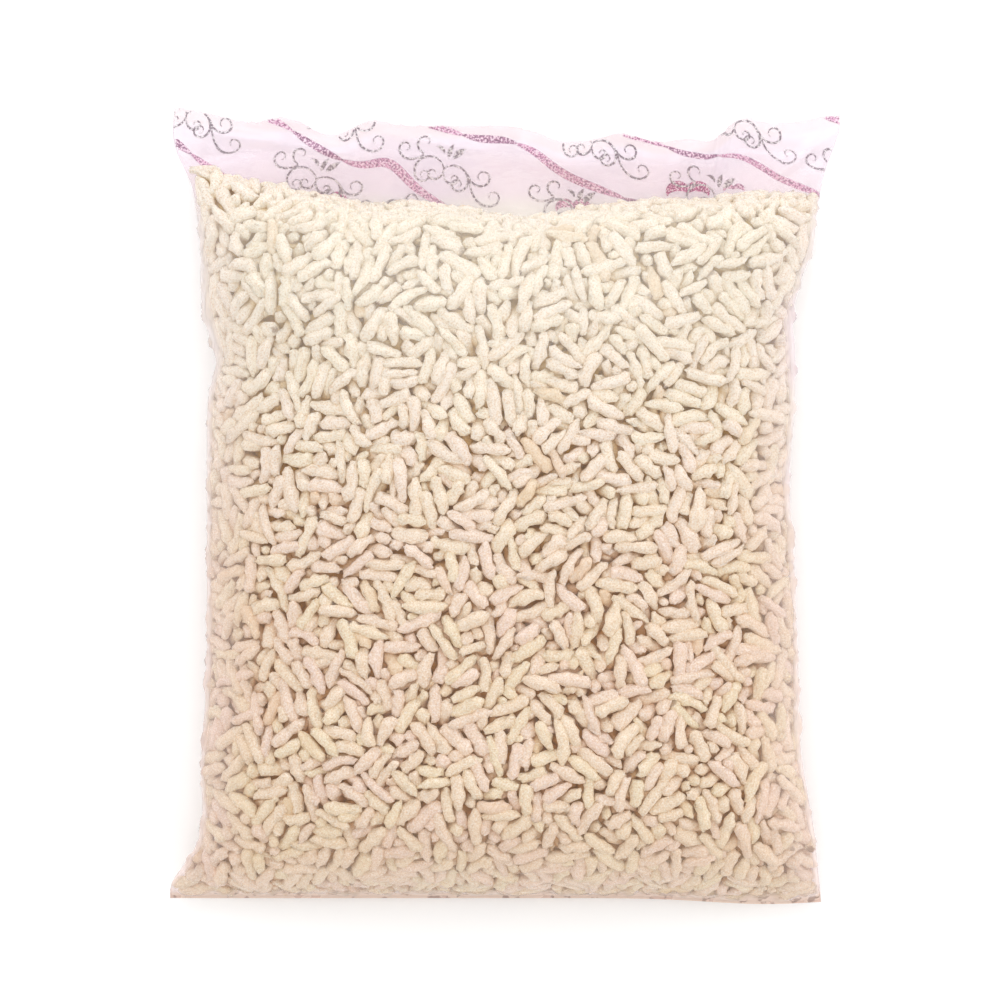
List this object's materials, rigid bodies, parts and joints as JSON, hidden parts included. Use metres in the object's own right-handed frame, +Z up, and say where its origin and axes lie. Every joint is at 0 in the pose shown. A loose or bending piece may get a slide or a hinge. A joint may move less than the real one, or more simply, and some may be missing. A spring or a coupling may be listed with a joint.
{
  "type": "bag of puffed rice",
  "caption": "Clear sealed pillow bag filled with puffed rice, with an empty printed header, lying on its back with the shown side up.",
  "frame": {"origin": "centre of the bag's outline, on the surface that it lies on", "axes": "+Z up through the shown side, +Y towards the empty header, +X across the bag"},
  "size_m": [0.1808, 0.215, 0.043],
  "materials": {
    "puffed_rice": "dry, matt and slightly porous cream grain",
    "clear_film": "thin glossy clear film",
    "printed_film": "thin glossy film, tinted lilac-pink",
    "print_ink": "glittery mauve and grey ink"
  },
  "bodies": {
    "root": {"rice_bag": "puffed_rice"}
  },
  "joints": []
}
